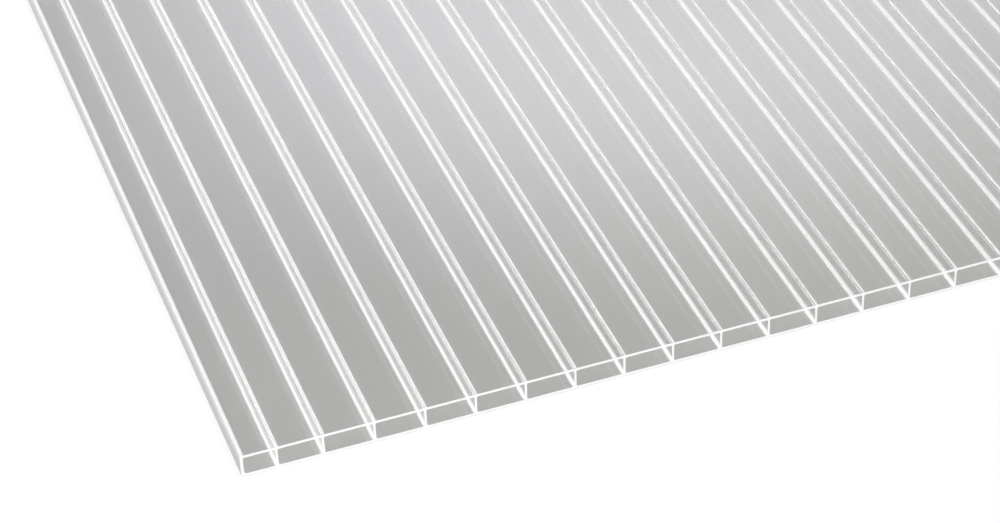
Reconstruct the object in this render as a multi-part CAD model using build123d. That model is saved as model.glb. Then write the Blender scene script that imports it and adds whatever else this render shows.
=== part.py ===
from build123d import *
import os

# Multiwall acrylic sheet: two flat skins joined by upright webs, extruded as one piece
# with an open chamber between each pair of webs.
# The frame has X across the webs, Y along them and Z up, with the origin at the middle
# of the underside. The sheet lies flat, as it is stacked and stored.
# Sizes are in millimetres.

# Overall size of the stock sheet
SHEET_WIDTH = 980.0
SHEET_LENGTH = 2000.0
SHEET_THICKNESS = 16.0

# Walls of the section
TOP_SKIN = 1.8
BOTTOM_SKIN = 1.8
WEB_THICKNESS = 1.4
SIDE_WALL = 1.8

# Spacing of the walls, centre to centre. The chamber along the left side is narrow,
# and the one beside it takes up what the full pitches leave of the width.
WEB_PITCH = 32.0
FIRST_CELL = 21.5

# Rounding left by the extrusion die
WEB_ROOT_RADIUS = 1.0
SIDE_CORNER_RADIUS = 0.8

PARTS_FOLDER = "parts"
NODE = "multiwall_sheet"


def web_centres():
    """Centre of each web, from the narrow chamber on the left to the right side."""
    left_wall = -(SHEET_WIDTH - SIDE_WALL) / 2
    right_wall = -left_wall
    first_web = left_wall + FIRST_CELL
    full_cells = round((right_wall - first_web) / WEB_PITCH) - 1
    regular = [right_wall - i * WEB_PITCH for i in range(full_cells, 0, -1)]
    return [first_web, *regular]


def cell_spans():
    """Left and right face of each chamber, from the left side of the sheet to the right."""
    centres = web_centres()
    inner_side = SHEET_WIDTH / 2 - SIDE_WALL
    lefts = [-inner_side, *(x + WEB_THICKNESS / 2 for x in centres)]
    rights = [*(x - WEB_THICKNESS / 2 for x in centres), inner_side]
    return list(zip(lefts, rights))


def outer_section():
    """The sheet's outline across the webs, with its underside on the X axis."""
    outline = RectangleRounded(SHEET_WIDTH, SHEET_THICKNESS, SIDE_CORNER_RADIUS)
    return Pos(0, SHEET_THICKNESS / 2) * outline


def cell_section(left, right):
    """One chamber of the section, with its web roots rounded."""
    height = SHEET_THICKNESS - TOP_SKIN - BOTTOM_SKIN
    chamber = RectangleRounded(right - left, height, WEB_ROOT_RADIUS)
    return Pos((left + right) / 2, BOTTOM_SKIN + height / 2) * chamber


def multiwall_sheet():
    """The whole sheet, extruded equally both ways from the middle of its length."""
    chambers = [cell_section(left, right) for left, right in cell_spans()]
    section = outer_section() - chambers
    sheet = extrude(Plane.XZ * section, amount=SHEET_LENGTH / 2, both=True)
    return sheet.solid()


os.makedirs(PARTS_FOLDER, exist_ok=True)
export_step(multiwall_sheet(), f"{PARTS_FOLDER}/{NODE}.step")
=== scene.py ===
import math
from collections import namedtuple

import bmesh
import bpy
from mathutils import Matrix, Vector


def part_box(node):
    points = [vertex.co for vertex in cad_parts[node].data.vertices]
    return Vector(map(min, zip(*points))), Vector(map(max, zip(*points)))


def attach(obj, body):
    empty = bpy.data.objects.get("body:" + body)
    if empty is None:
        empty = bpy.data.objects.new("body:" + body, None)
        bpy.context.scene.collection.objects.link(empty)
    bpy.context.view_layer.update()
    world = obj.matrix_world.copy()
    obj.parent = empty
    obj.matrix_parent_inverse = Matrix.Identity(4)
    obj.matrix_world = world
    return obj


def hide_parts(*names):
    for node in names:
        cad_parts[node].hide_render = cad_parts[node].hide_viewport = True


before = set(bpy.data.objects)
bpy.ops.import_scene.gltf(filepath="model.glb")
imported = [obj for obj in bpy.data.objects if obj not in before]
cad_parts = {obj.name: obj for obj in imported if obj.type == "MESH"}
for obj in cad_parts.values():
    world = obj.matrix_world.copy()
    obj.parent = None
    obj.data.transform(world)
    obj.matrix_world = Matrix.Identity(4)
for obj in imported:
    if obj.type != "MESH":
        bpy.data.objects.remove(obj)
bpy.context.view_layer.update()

# Clear multiwall sheet on a white floor. Lengths are in metres, in the frame's axes:
# X across the webs, Y along them, Z up.

NODE = "multiwall_sheet"
MM = 0.001

# Reading the frame's mesh
SQUARE_ON = 0.999  # cosine past which a face counts as looking along an axis
LEVEL_DECIMALS = 5  # of a metre, so levels are told apart to a hundredth of a millimetre
SAME_LEVEL = 0.1 * MM  # faces nearer to a level than this are taken to be on it

# Finer rounding and length steps than the frame's own mesh has
ARC_STEPS = 8
LENGTH_STEPS = 20

# Painted highlights at the webs' feet and heads: white in the acrylic that stands in for the light
# which the clear roots gather and bend. Along the skin it is full out to CORE from the web's face and
# ends at REACH. CLIMB is how far it runs along the web, from the chamber's floor or ceiling.
FOOT_CORE, FOOT_REACH, FOOT_CLIMB = 0.0 * MM, 2.1 * MM, 9.3 * MM
HEAD_CORE, HEAD_REACH, HEAD_CLIMB = 0.4 * MM, 1.8 * MM, 2.8 * MM
SIDE_HEAD_SHARE = 0.65  # how strong the painted highlight at the side walls' heads is, next to that at the webs' heads
FOOT_OVERLAP = 0.2 * MM  # how far the strip of painted light under a web reaches past it on each side
SIDE_FADE = 1.9 * MM  # width of the painted highlight along the top of the side walls, past their rounding

# Thickness of full painted light. At 1, seen square on, about 1/e of the light goes straight through.
ROOT_PAINTED_LIGHT = 1.6
SIDE_PAINTED_LIGHT = 1.8
# faint painted light all over the strip under each web
STRIP_PAINTED_LIGHT = 0.15
# The thickness follows this power of the mesh's painted light value. The higher, the sooner it thins
# out.
ROOT_EASE = 4.0
WEB_EASE = 6.0
SIDE_EASE = 0.8
PAINTED_LIGHT_WANDER = 0.1  # range over which the thickness strays along the sheet, as a share of it
LEAST_SLANT = 0.02  # keeps painted light seen edge on from being endlessly thick

# Webs seen nearly edge on look hazy: partly the acrylic's haze, partly a painted sheen. The angles are
# given as 1 less their cosine.
EDGE_ON_START, EDGE_ON_FULL = 0.71, 0.92
EDGE_ON_HAZE = 1.0
EDGE_ON_FADE = 0.1  # share of that haze that only places with painted light have

# Colours, gloss and relief
WHITE = (1.0, 1.0, 1.0, 1.0)
ACRYLIC_IOR = 1.49
SAWN_ROUGHNESS = 0.5
# painted shade: the underside's grey stands in for the dimmer ground seen through the clear sheet
UNDERSIDE_SHADE = 0.43
TINT = 0.05  # how much bluer the underside is at its coolest, and less blue at its warmest
WARM_AT, COOL_AT = -1.02, -0.58  # places along Y, where the sheet's front end is at -1
PATCHES = 0.5  # range over which soft patches shift the underside between warmest and coolest
# Painted light and shade as greys up the side wall, by the share of its height, and greys over the sawn
# ends, by their noise
SIDE_LIGHT_AND_SHADE = ((0.0, 0.3), (0.14, 0.22), (0.4, 0.142), (0.86, 0.3), (0.985, 0.42), (1.0, 0.85))
SAWN_GREYS = ((0.3, 0.93), (0.7, 1.0))
SKIN_RELIEF = 0.02 * MM
SAW_RELIEF = 0.05 * MM

# Waves to the metre along each axis
SKIN_WAVES = (25.0, 8.0, 25.0)
PAINTED_LIGHT_WAVES = (300.0, 120.0, 300.0)
PATCH_WAVES = (4.0, 4.0, 4.0)
SAW_WAVES = (900.0, 900.0, 250.0)

# Light and surroundings. A strength of 1 is white.
FILL = 0.4  # light from all round
FILL_THROUGH = 0.8  # the same, where it comes in through the clear walls
CEILING, WALLS = 0.216, 0.4  # the room that the sheet mirrors
# Heights in a unit direction, between which those walls give way to the ceiling
WALLS_FULL, WALLS_END = 0.575, 0.63
FLOOR_SIZE = 30.0
FLOOR_DROP = 0.2 * MM  # how far the floor is below the sheet
FLOOR_GREY = (0.8, 0.8, 0.8, 1.0)
FLOOR_GLOW = 0.075  # added to the floor for rays that show it
POOL = 0.39  # painted light: more of that glow, in a soft pool
POOL_AT = (-0.05, -0.44, 0.0)
POOL_REACH = (0.483, 0.651, 1.0)
POOL_CORE = 0.36  # share of the reach that is at full strength
HALO = 0.4  # how far past the sheet's edges the floor turns plain white

# Softboxes: from above, from the front for the sawn end, and from the left for the webs.
# Each has its name, place, the point that it faces, its size and its watts.
LAMPS = (
    ("overhead", (0.0, -0.4, 3.2), (0.0, -0.4, 0.0), 3.5, 38.0),
    ("front", (-0.8, -4.0, 1.6), (0.0, -0.6, 0.0), 2.5, 42.0),
    ("left", (-3.5, -0.8, 1.8), (0.0, -0.6, 0.0), 2.5, 132.0),
)

# Camera, fitted to the lines in the photograph. Its place is from the sheet's front left
# corner at the middle of the side wall, at the level of the underside.
IMAGE_WIDTH = 1000
FOCAL_PIXELS = 2949.6
SENSOR_WIDTH = 36.0
CAMERA_FROM_CORNER = Vector((-0.2748, -1.2656, 1.1716))
CAMERA_YAW = math.radians(19.140)
CAMERA_PITCH = math.radians(38.341)
CAMERA_ROLL = math.radians(-1.932)


# Reading the section back from the frame

def flat_levels(mesh, axis):
    """Where the flat faces that look along one axis stand, in rising order."""
    facing = [face for face in mesh.polygons if abs(face.normal[axis]) > SQUARE_ON]
    return sorted({round(face.center[axis], LEVEL_DECIMALS) for face in facing})


def corner_radius(mesh, side, level):
    """Rounding between an upright face at X = side and the flat faces at Z = level."""
    level_faces = [face for face in mesh.polygons if abs(face.normal.z) > SQUARE_ON]
    flat = [face for face in level_faces if abs(face.center.z - level) < SAME_LEVEL]
    return min(abs(mesh.vertices[v].co.x - side) for face in flat for v in face.vertices)


class Section:
    """The sheet's section across its webs, read from the frame's solid."""

    def __init__(self):
        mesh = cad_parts[NODE].data
        self.low, self.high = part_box(NODE)
        uprights = flat_levels(mesh, 0)
        levels = flat_levels(mesh, 2)
        self.chambers = [(uprights[i], uprights[i + 1]) for i in range(1, len(uprights) - 1, 2)]
        self.floor, self.ceiling = levels[1], levels[2]
        self.side_wall = uprights[1] - uprights[0]
        self.root_radius = corner_radius(mesh, self.chambers[0][0], self.floor)
        self.side_radius = corner_radius(mesh, self.low.x, self.low.z)


# Mesh of the sheet

class Kind:
    """Which finish a stretch of the surface takes. The numbers are the mesh's slots."""
    SKIN, UNDERSIDE, WEB, ROOT, SIDE, SAWN, FOOT = range(7)


Point = namedtuple("Point", "x z normal milk kind")  # kind is that of the stretch that follows


def heading(degrees):
    """A unit vector in the section, as (x, z)."""
    return Vector((math.cos(math.radians(degrees)), math.sin(math.radians(degrees))))


def rounded_corner(centre, radius, start, kinds, margins):
    """One rounded corner, anticlockwise, with a point on the flats before and after it.
    kinds are those of the flat before, the corner and the flat after. margins are how far
    out the points on the flats lie."""
    before, corner, after = kinds
    first, last = heading(start), heading(start + 90)
    turns = [heading(start + 90 * i / ARC_STEPS) for i in range(ARC_STEPS + 1)]
    points = [Point(*(centre + radius * turn), turn, 0.0, corner) for turn in turns]
    points[-1] = points[-1]._replace(kind=after)
    points.insert(0, Point(*(centre + radius * first - margins[0] * last), first, 0.0, before))
    points.append(Point(*(centre + radius * last - margins[1] * first), last, 0.0, after))
    return points


def rounded_loop(low, high, radius, flats, corner, margins):
    """Points round a rounded rectangle, anticlockwise from its lower right corner.
    flats are the kinds of the right, top, left and bottom stretches. margins are how far
    past the lower and the upper corners the points on the upright and level flats lie."""
    places = [(high.x - radius, low.y + radius), (high.x - radius, high.y - radius),
              (low.x + radius, high.y - radius), (low.x + radius, low.y + radius)]
    loop = []
    for i, place in enumerate(places):
        kinds = (flats[i - 1], corner, flats[i])
        upright, level = margins[1 if i in (1, 2) else 0]
        pair = (upright, level) if i % 2 else (level, upright)
        loop += rounded_corner(Vector(place), radius, 90 * (i - 1), kinds, pair)
    return loop


def within_unit(value):
    """The value, held between 0 and 1."""
    return max(0.0, min(1.0, value))


def root_painted_light(point, low, high, walls):
    """How strong the painted highlight is at a point of a chamber's outline, from 0 to 1. walls are the
    kinds of the walls to its left and right, as a side wall's head has a weaker one."""
    from_left, from_right = point.x - low.x, high.x - point.x
    from_floor, from_ceiling = point.z - low.y, high.y - point.z
    at_foot = from_floor < from_ceiling
    if at_foot:
        core, reach, climb = FOOT_CORE, FOOT_REACH, FOOT_CLIMB
    else:
        core, reach, climb = HEAD_CORE, HEAD_REACH, HEAD_CLIMB
    by_side_wall = walls[0 if from_left < from_right else 1] == Kind.SIDE
    most = SIDE_HEAD_SHARE if by_side_wall and not at_foot else 1.0
    along_skin = (reach - min(from_left, from_right)) / (reach - core)
    along_web = 1.0 - min(from_floor, from_ceiling) / climb
    return most * within_unit(along_skin) * within_unit(along_web)


def outline_loop(section):
    """The sheet's outline. The side walls' painted light and shade reach a little way over its top."""
    low, high = Vector((section.low.x, section.low.z)), Vector((section.high.x, section.high.z))
    radius = section.side_radius
    flats = (Kind.SIDE, Kind.SKIN, Kind.SIDE, Kind.UNDERSIDE)
    margins = ((radius, SIDE_FADE), (radius, SIDE_FADE))
    loop = rounded_loop(low, high, radius, flats, Kind.SIDE, margins)
    dressed = []
    for point, following in zip(loop, loop[1:] + loop[:1]):
        along_top = point.z == following.z == high.y
        on_shoulder = along_top and abs(point.x - following.x) < 2 * SIDE_FADE
        painted_side = min(point.x - low.x, high.x - point.x) < radius + SIDE_FADE / 2
        kind = Kind.SIDE if on_shoulder else point.kind
        dressed.append(point._replace(kind=kind, milk=float(painted_side)))
    return dressed


def foot_strips(section):
    """Points along the underside, where the strip of painted light under each web starts and stops."""
    down = heading(-90)
    points = []
    for (_, start), (end, _) in zip(section.chambers, section.chambers[1:]):
        points.append(Point(start - FOOT_OVERLAP, section.low.z, down, 1.0, Kind.FOOT))
        points.append(Point(end + FOOT_OVERLAP, section.low.z, down, 1.0, Kind.UNDERSIDE))
    return points


def reversed_loop(loop):
    """The same loop the other way round, with each stretch keeping its kind."""
    kinds = [loop[i - 1].kind for i in range(len(loop))]
    return [point._replace(kind=kind) for point, kind in zip(loop, kinds)][::-1]


def chamber_loop(section, chamber, walls):
    """One chamber's outline, facing into its hollow, with painted highlights at its corners."""
    left, right = chamber
    low, high = Vector((left, section.floor)), Vector((right, section.ceiling))
    radius = section.root_radius
    flats = (Kind.WEB, Kind.SKIN, Kind.WEB, Kind.SKIN)
    margins = ((FOOT_CLIMB - radius, FOOT_REACH - radius), (HEAD_CLIMB - radius, HEAD_REACH - radius))
    loop = reversed_loop(rounded_loop(low, high, radius, flats, Kind.ROOT, margins))
    return [point._replace(normal=-point.normal, milk=root_painted_light(point, low, high, walls))
            for point in loop]


def section_loops(section):
    """The outline first, then one loop for each chamber."""
    loops = [outline_loop(section) + foot_strips(section)]
    last = len(section.chambers) - 1
    for i, chamber in enumerate(section.chambers):
        walls = (Kind.SIDE if i == 0 else Kind.WEB, Kind.SIDE if i == last else Kind.WEB)
        loops.append(chamber_loop(section, chamber, walls))
    return loops


def sheet_mesh(section):
    """The sheet as one closed mesh, with a slot for each finish and the strength of its painted light
    by point.
    """
    length = section.high.y - section.low.y
    stations = [section.low.y + length * i / LENGTH_STEPS for i in range(LENGTH_STEPS + 1)]
    shape = bmesh.new()
    shape.verts.layers.float.new("milk")
    outward, front, back = [], [], []
    for loop in section_loops(section):
        rings = add_rings(shape, loop, stations)
        outward += [(point.normal.x, 0.0, point.normal.y) for point in loop] * len(stations)
        for near, far in zip(rings, rings[1:]):
            add_band(shape, near, far, loop)
        front += ring_edges(rings[0])
        back += ring_edges(rings[-1])
    add_sawn_end(shape, front, -1)
    add_sawn_end(shape, back, 1)
    mesh = bpy.data.meshes.new("clear_sheet")
    shape.to_mesh(mesh)
    shape.free()
    set_exact_normals(mesh, outward)
    return mesh


def add_rings(shape, loop, stations):
    """The loop's points at each station along the sheet, with the strength of their painted light."""
    milk = shape.verts.layers.float["milk"]
    rings = [[shape.verts.new((point.x, y, point.z)) for point in loop] for y in stations]
    for ring in rings:
        for vert, point in zip(ring, loop):
            vert[milk] = point.milk
    return rings


def ring_edges(ring):
    """The edges that join a ring's points, in order."""
    pairs = zip(ring, ring[1:] + ring[:1])
    return [next(edge for edge in a.link_edges if edge.other_vert(a) is b) for a, b in pairs]


def add_band(shape, near, far, loop):
    """Faces between two rings, looking out of the solid."""
    for i, point in enumerate(loop):
        j = (i + 1) % len(loop)
        face = shape.faces.new([near[i], far[i], far[j], near[j]])
        face.material_index = point.kind
        face.smooth = True


def add_sawn_end(shape, edges, side):
    """The flat end across the walls, looking towards side along Y."""
    filled = bmesh.ops.triangle_fill(shape, use_beauty=True, edges=edges)
    shape.normal_update()
    for face in [item for item in filled["geom"] if isinstance(item, bmesh.types.BMFace)]:
        face.material_index = Kind.SAWN
        if face.normal.y * side < 0:
            face.normal_flip()


def set_exact_normals(mesh, outward):
    """Gives each face's corners the true normal of the surface there, so that flats stay flat."""
    normals = []
    for face in mesh.polygons:
        sawn = face.material_index == Kind.SAWN
        normals += [tuple(face.normal) if sawn else outward[v] for v in face.vertices]
    mesh.normals_split_custom_set(normals)


# Shader nodes

def math_node(tree, operation, *values, clamp=False):
    """A Math node on sockets or plain numbers, and its result."""
    node = tree.nodes.new("ShaderNodeMath")
    node.operation = operation
    node.use_clamp = clamp
    for slot, value in zip(node.inputs, values):
        if isinstance(value, (int, float)):
            slot.default_value = value
        else:
            tree.links.new(value, slot)
    return node.outputs[0]


def vector_node(tree, operation, vector, fixed=(0.0, 0.0, 0.0)):
    """A Vector Math node on a socket and a fixed vector, and its result."""
    node = tree.nodes.new("ShaderNodeVectorMath")
    node.operation = operation
    node.inputs[1].default_value = fixed
    tree.links.new(vector, node.inputs[0])
    return node.outputs["Value" if operation == "LENGTH" else "Vector"]


def smooth_step(tree, value, start, end):
    """0 where value is at start or short of it, 1 from end on, and eased in between.
    start may be the higher of the two."""
    ease = tree.nodes.new("ShaderNodeMapRange")
    ease.interpolation_type = "SMOOTHSTEP"
    ease.inputs["From Min"].default_value = start
    ease.inputs["From Max"].default_value = end
    tree.links.new(value, ease.inputs["Value"])
    return ease.outputs["Result"]


def own_place(tree):
    """The shaded point in the object's own axes, in metres."""
    return tree.nodes.new("ShaderNodeTexCoord").outputs["Object"]


def part_of(tree, vector, axis):
    """One part of a vector, named X, Y or Z."""
    parts = tree.nodes.new("ShaderNodeSeparateXYZ")
    tree.links.new(vector, parts.inputs[0])
    return parts.outputs[axis]


def noise(tree, waves, detail=2.0):
    """Noise with so many waves to the metre along each axis."""
    mapping = tree.nodes.new("ShaderNodeMapping")
    mapping.inputs["Scale"].default_value = waves
    texture = tree.nodes.new("ShaderNodeTexNoise")
    texture.inputs["Scale"].default_value = 1.0
    texture.inputs["Detail"].default_value = detail
    tree.links.new(own_place(tree), mapping.inputs["Vector"])
    tree.links.new(mapping.outputs["Vector"], texture.inputs["Vector"])
    return texture.outputs["Fac"]


def straying(tree, value, middle, spread):
    """Turns a value from 0 to 1 into one that strays over a spread about a middle."""
    return math_node(tree, "MULTIPLY_ADD", math_node(tree, "SUBTRACT", value, 0.5), spread, middle)


def colour_ramp(tree, value, stops, interpolation="LINEAR"):
    """A colour that follows a value between (value, colour) stops."""
    ramp = tree.nodes.new("ShaderNodeValToRGB")
    ramp.color_ramp.interpolation = interpolation
    elements = ramp.color_ramp.elements
    while len(elements) < len(stops):
        elements.new(0.5)
    for element, (place, colour) in zip(elements, stops):
        element.position = place
        element.color = (*colour, 1.0)
    tree.links.new(value, ramp.inputs["Fac"])
    return ramp.outputs["Color"]


def grey_stops(stops):
    """Stops for a colour ramp, from (value, grey) pairs."""
    return [(place, (grey, grey, grey)) for place, grey in stops]


def mix_shaders(tree, share, first, second):
    """The first shader, and as large a share as is given of the second."""
    mix = tree.nodes.new("ShaderNodeMixShader")
    tree.links.new(share, mix.inputs[0])
    tree.links.new(first, mix.inputs[1])
    tree.links.new(second, mix.inputs[2])
    return mix.outputs[0]


def add_bump(tree, shader, height, distance):
    """A small relief under the shader's normal."""
    bump = tree.nodes.new("ShaderNodeBump")
    bump.inputs["Strength"].default_value = 1.0
    bump.inputs["Distance"].default_value = distance
    tree.links.new(height, bump.inputs["Height"])
    tree.links.new(bump.outputs[0], shader.inputs["Normal"])


def new_material(name):
    """An empty node material and its node tree."""
    material = bpy.data.materials.new(name)
    material.use_nodes = True
    material.node_tree.nodes.clear()
    return material, material.node_tree


def set_surface(tree, shader):
    """Makes a shader the material's surface."""
    out = tree.nodes.new("ShaderNodeOutputMaterial")
    tree.links.new(shader, out.inputs["Surface"])


# Finishes of the sheet

# How much painted light a finish has, in place of clear acrylic. full is its thickness where the mesh's
# painted light value is 1, ease is the power of that value that it follows, and wander is how far it
# strays. haze is thickness that is there everywhere, and edge_on is the haze of a face seen edge on.
Milk = namedtuple("Milk", "full ease wander haze edge_on", defaults=(0.0, 1.0, 0.0, 0.0, 0.0))


def clear_acrylic(name, milk=None, colour=None, bump=0.0):
    """Clear acrylic that turns to painted light where the mesh's painted light value rises. Lamps shine
    through it, so that what lies behind clear walls is lit."""
    material, tree = new_material(name)
    shader = tree.nodes.new("ShaderNodeBsdfPrincipled")
    shader.inputs["Roughness"].default_value = 0.0
    shader.inputs["IOR"].default_value = ACRYLIC_IOR
    if colour:
        tree.links.new(colour(tree), shader.inputs["Base Color"])
    else:
        shader.inputs["Base Color"].default_value = WHITE
    if milk:
        tree.links.new(clearness(tree, milk), shader.inputs["Transmission Weight"])
    else:
        shader.inputs["Transmission Weight"].default_value = 1.0
    if bump:
        add_bump(tree, shader, noise(tree, SKIN_WAVES), bump)
    path = tree.nodes.new("ShaderNodeLightPath")
    open_way = tree.nodes.new("ShaderNodeBsdfTransparent")
    shown = mix_shaders(tree, path.outputs["Is Shadow Ray"], shader.outputs[0], open_way.outputs[0])
    set_surface(tree, shown)
    return material


def clearness(tree, milk):
    """How much light goes straight through, which falls where the painted light is seen at a slant."""
    attribute = tree.nodes.new("ShaderNodeAttribute")
    attribute.attribute_name = "milk"
    value = attribute.outputs["Fac"]
    angle = tree.nodes.new("ShaderNodeLayerWeight")
    angle.inputs["Blend"].default_value = 0.5  # at which Facing is 1 less the cosine
    facing = angle.outputs["Facing"]
    minus_cosine = math_node(tree, "SUBTRACT", facing, 1.0 + LEAST_SLANT)
    crossed = math_node(tree, "DIVIDE", painted_light_thickness(tree, value, milk), minus_cosine)
    passed = math_node(tree, "EXPONENT", crossed)
    kept = math_node(tree, "SUBTRACT", 1.0, edge_on_haze(tree, value, facing, milk.edge_on))
    return math_node(tree, "MULTIPLY", passed, kept, clamp=True)


def painted_light_thickness(tree, value, milk):
    """The painted light's thickness, uneven along the sheet."""
    eased = math_node(tree, "POWER", value, milk.ease)
    uneven = straying(tree, noise(tree, PAINTED_LIGHT_WAVES), 1.0, milk.wander)
    share = math_node(tree, "MULTIPLY", eased, uneven)
    return math_node(tree, "MULTIPLY_ADD", share, milk.full, milk.haze)


def edge_on_haze(tree, value, facing, haze):
    """Haze of a face seen nearly edge on, partly painted sheen, stronger where there is painted light.
    """
    seen_edge_on = smooth_step(tree, facing, EDGE_ON_START, EDGE_ON_FULL)
    where_painted, everywhere = EDGE_ON_FADE * haze, (1.0 - EDGE_ON_FADE) * haze
    strongest = math_node(tree, "MULTIPLY_ADD", value, where_painted, everywhere)
    return math_node(tree, "MULTIPLY", seen_edge_on, strongest)


def side_light_and_shade(section):
    """The side wall's painted light and shade: dark grey half way up, lighter below, standing in for
    the white floor seen through it, and lighter above, up to a painted highlight along its top edge.
    """
    def colour(tree):
        height = part_of(tree, own_place(tree), "Z")
        share = math_node(tree, "DIVIDE", height, section.high.z)
        return colour_ramp(tree, share, grey_stops(SIDE_LIGHT_AND_SHADE), "EASE")
    return colour


def underside_shade(tree):
    """The underside's painted shade: grey that stands in for the dimmer ground seen through the clear
    sheet, warm at the front end and cooler further back, in soft patches.
    """
    grey = UNDERSIDE_SHADE
    coolness = smooth_step(tree, part_of(tree, own_place(tree), "Y"), WARM_AT, COOL_AT)
    patches = straying(tree, noise(tree, PATCH_WAVES, detail=1.0), 0.0, PATCHES)
    stops = ((0.0, (grey, grey, grey * (1 - TINT))), (1.0, (grey, grey, grey * (1 + TINT))))
    return colour_ramp(tree, math_node(tree, "ADD", coolness, patches), stops)


def sawn_acrylic():
    """The matt white of a sawn end, with the fine marks of the saw."""
    material, tree = new_material("sawn_end")
    shader = tree.nodes.new("ShaderNodeBsdfPrincipled")
    marks = noise(tree, SAW_WAVES, detail=4.0)
    tree.links.new(colour_ramp(tree, marks, grey_stops(SAWN_GREYS)), shader.inputs["Base Color"])
    shader.inputs["Roughness"].default_value = SAWN_ROUGHNESS
    shader.inputs["IOR"].default_value = ACRYLIC_IOR
    add_bump(tree, shader, marks, SAW_RELIEF)
    set_surface(tree, shader.outputs[0])
    return material


def sheet_materials(section):
    """One finish for each kind of surface, in the order of the mesh's slots."""
    root = Milk(full=ROOT_PAINTED_LIGHT, ease=ROOT_EASE, wander=PAINTED_LIGHT_WANDER)
    web = Milk(full=ROOT_PAINTED_LIGHT, ease=WEB_EASE, wander=PAINTED_LIGHT_WANDER, edge_on=EDGE_ON_HAZE)
    side = Milk(full=SIDE_PAINTED_LIGHT, ease=SIDE_EASE)
    strip = Milk(haze=STRIP_PAINTED_LIGHT)
    return [
        clear_acrylic("clear_skin", root, bump=SKIN_RELIEF),
        # the underside's grey is painted shade
        clear_acrylic("underside", colour=underside_shade, bump=SKIN_RELIEF),
        clear_acrylic("web", web),
        clear_acrylic("web_root", root),
        clear_acrylic("side", side, side_light_and_shade(section)),
        sawn_acrylic(),
        clear_acrylic("web_foot", strip),
    ]


# Floor

def shows_directly(tree):
    """1 for rays that show the floor itself, straight, mirrored or through glass."""
    path = tree.nodes.new("ShaderNodeLightPath")
    through = path.outputs["Is Transmission Ray"]
    by_sheet = math_node(tree, "MAXIMUM", path.outputs["Is Glossy Ray"], through)
    return math_node(tree, "MAXIMUM", path.outputs["Is Camera Ray"], by_sheet)


def floor_pool(tree):
    """A painted pool of light on the floor, under the front half of the sheet."""
    offset = vector_node(tree, "SUBTRACT", own_place(tree), POOL_AT)
    away = vector_node(tree, "LENGTH", vector_node(tree, "DIVIDE", offset, POOL_REACH))
    return math_node(tree, "MULTIPLY", smooth_step(tree, away, 1.0, POOL_CORE), POOL)


def past_sheet(tree, section):
    """How far a point of the floor is past the sheet's edges, and 0 under the sheet."""
    aside = vector_node(tree, "ABSOLUTE", own_place(tree))
    past = vector_node(tree, "SUBTRACT", aside, section.high)
    return vector_node(tree, "LENGTH", vector_node(tree, "MAXIMUM", past))


def floor_material(section):
    """Pale near the sheet, where it takes the sheet's shade, and plain white further off."""
    material, tree = new_material("floor")
    directly = shows_directly(tree)
    diffuse = tree.nodes.new("ShaderNodeBsdfDiffuse")
    diffuse.inputs["Color"].default_value = FLOOR_GREY
    glow = tree.nodes.new("ShaderNodeEmission")
    level = math_node(tree, "ADD", floor_pool(tree), FLOOR_GLOW)
    tree.links.new(math_node(tree, "MULTIPLY", directly, level), glow.inputs["Strength"])
    near = tree.nodes.new("ShaderNodeAddShader")
    tree.links.new(diffuse.outputs[0], near.inputs[0])
    tree.links.new(glow.outputs[0], near.inputs[1])
    white = tree.nodes.new("ShaderNodeEmission")
    white.inputs["Color"].default_value = WHITE
    far_off = smooth_step(tree, past_sheet(tree, section), 0.0, HALO)
    share = math_node(tree, "MULTIPLY", directly, far_off)
    set_surface(tree, mix_shaders(tree, share, near.outputs[0], white.outputs[0]))
    return material


def add_floor(section):
    """A white floor that keeps the sheet's faint shadow."""
    half = FLOOR_SIZE / 2
    corners = [(-half, -half, 0), (half, -half, 0), (half, half, 0), (-half, half, 0)]
    mesh = bpy.data.meshes.new("floor")
    mesh.from_pydata(corners, [], [(0, 1, 2, 3)])
    mesh.materials.append(floor_material(section))
    floor = bpy.data.objects.new("floor", mesh)
    floor.location.z = -FLOOR_DROP
    bpy.context.scene.collection.objects.link(floor)


# World, lamps and camera

def mirrored_room(tree):
    """What the sheet mirrors: a dark ceiling and lighter walls low down."""
    direction = tree.nodes.new("ShaderNodeTexCoord").outputs["Generated"]
    walls = smooth_step(tree, part_of(tree, direction, "Z"), WALLS_END, WALLS_FULL)
    return math_node(tree, "MULTIPLY_ADD", walls, WALLS - CEILING, CEILING)


def world_strength(tree):
    """White for the camera, the room for what the sheet mirrors, and soft light for the rest."""
    path = tree.nodes.new("ShaderNodeLightPath")
    through = path.outputs["Is Transmission Ray"]
    # Diffuse Depth counts in whole numbers, and is 0 until the ray has scattered
    straight = math_node(tree, "LESS_THAN", path.outputs["Diffuse Depth"], 0.5)
    scattered = math_node(tree, "SUBTRACT", 1.0, straight)
    by_sheet = math_node(tree, "MAXIMUM", path.outputs["Is Glossy Ray"], through)
    seen_in_sheet = math_node(tree, "MULTIPLY", straight, by_sheet)
    lit_through = math_node(tree, "MULTIPLY", scattered, through)
    open_level = math_node(tree, "MULTIPLY_ADD", path.outputs["Is Camera Ray"], 1.0 - FILL, FILL)
    level = math_node(tree, "MULTIPLY_ADD", lit_through, FILL_THROUGH - FILL, open_level)
    past_fill = math_node(tree, "SUBTRACT", mirrored_room(tree), FILL)
    return math_node(tree, "ADD", level, math_node(tree, "MULTIPLY", seen_in_sheet, past_fill))


def set_world():
    """A world of white light, as strong as each kind of ray should find it."""
    world = bpy.data.worlds.new("studio")
    bpy.context.scene.world = world
    world.use_nodes = True
    tree = world.node_tree
    tree.nodes.clear()
    back = tree.nodes.new("ShaderNodeBackground")
    back.inputs["Color"].default_value = WHITE
    tree.links.new(world_strength(tree), back.inputs["Strength"])
    out = tree.nodes.new("ShaderNodeOutputWorld")
    tree.links.new(back.outputs[0], out.inputs["Surface"])


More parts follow.
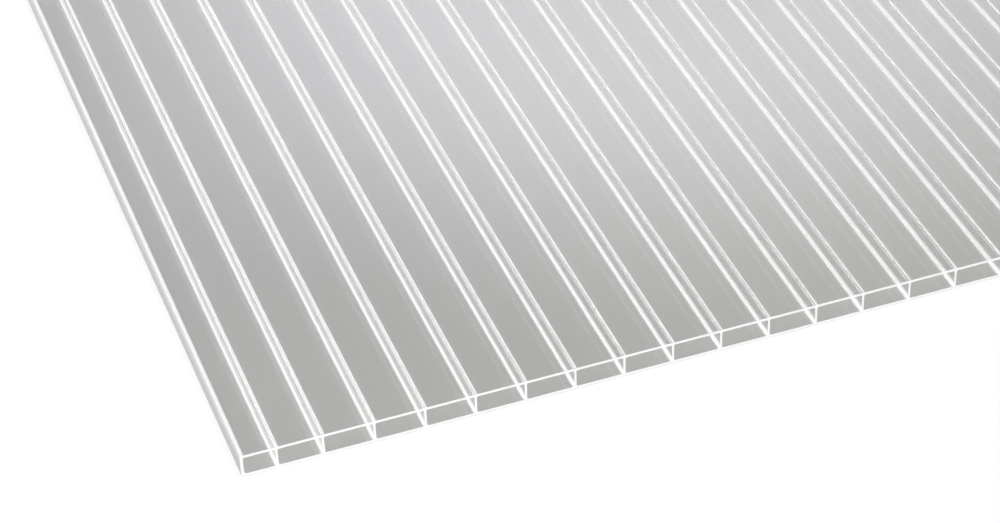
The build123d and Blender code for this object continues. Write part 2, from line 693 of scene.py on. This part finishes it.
def add_lamp(name, place, target, size, watts):
    """A square soft lamp that mirrors and glass don't show."""
    data = bpy.data.lights.new(name, "AREA")
    data.shape = "SQUARE"
    data.size = size
    data.energy = watts
    lamp = bpy.data.objects.new(name, data)
    lamp.location = place
    lamp.rotation_euler = (Vector(target) - Vector(place)).to_track_quat("-Z", "Y").to_euler()
    lamp.visible_glossy = False
    lamp.visible_transmission = False
    bpy.context.scene.collection.objects.link(lamp)


def camera_axes():
    """The camera's right, up and backward directions."""
    yaw, pitch, roll = CAMERA_YAW, CAMERA_PITCH, CAMERA_ROLL
    ahead = Vector((math.sin(yaw) * math.cos(pitch), math.cos(yaw) * math.cos(pitch), -math.sin(pitch)))
    level = Vector((math.cos(yaw), -math.sin(yaw), 0.0))
    upright = level.cross(ahead)
    right = math.cos(roll) * level + math.sin(roll) * upright
    up = math.cos(roll) * upright - math.sin(roll) * level
    return right, up, -ahead


def add_camera(section):
    """The photograph's view, with no shift."""
    data = bpy.data.cameras.new("camera")
    data.sensor_width = SENSOR_WIDTH
    data.sensor_fit = "HORIZONTAL"
    data.lens = SENSOR_WIDTH * FOCAL_PIXELS / IMAGE_WIDTH
    corner = Vector((section.low.x + section.side_wall / 2, section.low.y, section.low.z))
    turn = Matrix(camera_axes()).transposed().to_4x4()
    camera = bpy.data.objects.new("camera", data)
    camera.matrix_world = Matrix.Translation(corner + CAMERA_FROM_CORNER) @ turn
    bpy.context.scene.collection.objects.link(camera)
    bpy.context.scene.camera = camera


def set_render():
    """Enough bounces for a ray to cross many webs, and the plain view transform."""
    scene = bpy.context.scene
    scene.view_settings.view_transform = "Standard"
    scene.cycles.max_bounces = 32
    scene.cycles.transmission_bounces = 32
    scene.cycles.glossy_bounces = 16
    scene.cycles.diffuse_bounces = 4
    scene.cycles.transparent_max_bounces = 64
    scene.cycles.use_denoising = True


section = Section()
mesh = sheet_mesh(section)
for material in sheet_materials(section):
    mesh.materials.append(material)
sheet = bpy.data.objects.new("clear_sheet", mesh)
bpy.context.scene.collection.objects.link(sheet)
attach(sheet, "root")
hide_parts(NODE)
add_floor(section)
set_world()
for lamp in LAMPS:
    add_lamp(*lamp)
add_camera(section)
set_render()
